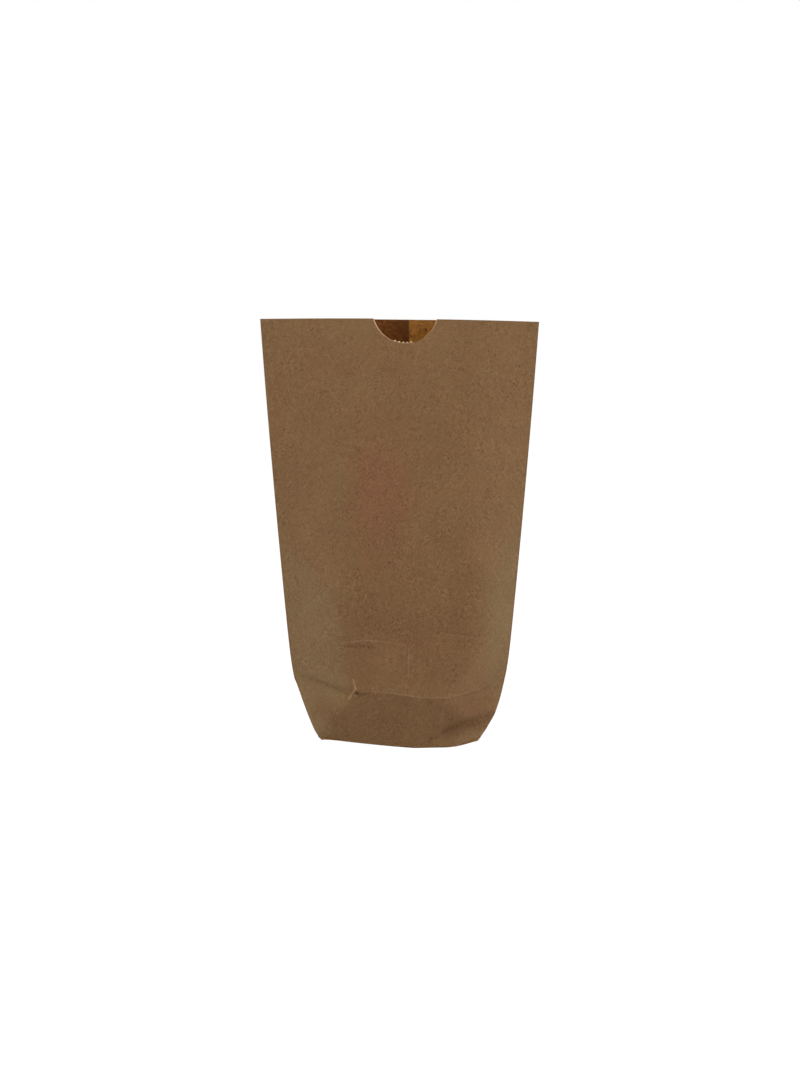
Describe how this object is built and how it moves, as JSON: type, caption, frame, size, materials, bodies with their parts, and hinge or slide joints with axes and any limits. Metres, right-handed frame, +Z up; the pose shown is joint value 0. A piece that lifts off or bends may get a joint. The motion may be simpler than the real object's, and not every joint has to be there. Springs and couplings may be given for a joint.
{
  "type": "brown paper lunch bag",
  "caption": "Plain brown kraft paper lunch bag standing open, with a folded cross bottom, a glued back seam and a thumb notch in the front rim.",
  "frame": {"origin": "on the table under the middle of the bag", "axes": "+Z up out of the mouth, -Y to the front wall with the thumb notch, +X to the right across the bag's width as seen from the front"},
  "size_m": [0.1494, 0.0734, 0.2283],
  "materials": {
    "kraft_paper": "uncoated brown kraft paper, matt, faintly fibrous"
  },
  "bodies": {
    "root": {"bag": "kraft_paper"}
  },
  "joints": []
}
